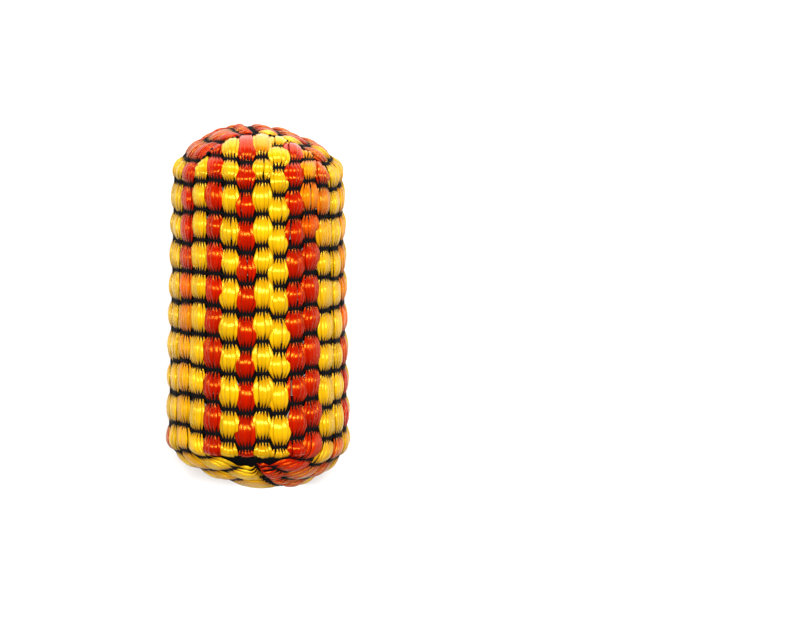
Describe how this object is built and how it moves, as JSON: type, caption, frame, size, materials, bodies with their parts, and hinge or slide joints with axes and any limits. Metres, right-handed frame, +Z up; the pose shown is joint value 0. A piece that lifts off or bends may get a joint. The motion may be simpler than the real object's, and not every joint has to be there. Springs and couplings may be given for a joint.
{
  "type": "herbal compress ball",
  "caption": "Soft bolster-shaped herbal compress: a muslin bag of packed dried herbs in a cover of satin floss columns bound by black cord, with folded and stitched ends.",
  "frame": {"origin": "middle of the length and width, at the height of the surface that the compress lies on", "axes": "+Y along the long axis, towards the slimmer end; +Z up from the resting face; +X to the right as seen from above with +Y away"},
  "size_m": [0.0554, 0.1083, 0.0532],
  "materials": {
    "floss_yellow": "satin filament floss, golden yellow",
    "floss_red": "satin filament floss, orange red",
    "binding_black": "matt twisted cord, black",
    "muslin_white": "plain-woven unbleached cotton",
    "cotton_string": "twisted cotton",
    "dried_herbs": "packed dried leaf and root"
  },
  "bodies": {
    "root": {"herb_filling": "dried_herbs", "muslin_bag": "muslin_white", "bag_tie_string": "cotton_string", "floss_column_01": "floss_yellow", "floss_column_02": "floss_yellow", "floss_column_03": "floss_red", "floss_column_04": "floss_red", "floss_column_05": "floss_yellow", "floss_column_06": "floss_yellow", "floss_column_07": "floss_red", "floss_column_08": "floss_yellow", "floss_column_09": "floss_yellow", "floss_column_10": "floss_red", "floss_column_11": "floss_yellow", "floss_column_12": "floss_yellow", "floss_column_13": "floss_red", "floss_column_14": "floss_yellow", "floss_column_15": "floss_red", "floss_column_16": "floss_red", "floss_column_17": "floss_yellow", "floss_column_18": "floss_yellow", "floss_column_19": "floss_red", "floss_column_20": "floss_yellow", "floss_column_21": "floss_red", "floss_column_22": "floss_yellow", "floss_column_23": "floss_yellow", "floss_column_24": "floss_red", "floss_column_25": "floss_yellow", "floss_column_26": "floss_red", "floss_column_27": "floss_yellow", "floss_column_28": "floss_red", "body_binding_row_01": "binding_black", "body_binding_row_02": "binding_black", "body_binding_row_03": "binding_black", "body_binding_row_04": "binding_black", "body_binding_row_05": "binding_black", "body_binding_row_06": "binding_black", "body_binding_row_07": "binding_black", "body_binding_row_08": "binding_black", "body_binding_row_09": "binding_black", "body_binding_row_10": "binding_black", "top_left_flap_binding_row_1": "binding_black", "top_left_flap_binding_row_2": "binding_black", "top_right_flap_binding_row_1": "binding_black", "top_right_flap_binding_row_2": "binding_black", "top_closing_stitch": "binding_black", "bottom_left_flap_binding_row_1": "binding_black", "bottom_left_flap_binding_row_2": "binding_black", "bottom_left_flap_binding_row_3": "binding_black", "bottom_right_flap_binding_row_1": "binding_black", "bottom_right_flap_binding_row_2": "binding_black", "bottom_closing_stitch": "binding_black"}
  },
  "joints": []
}
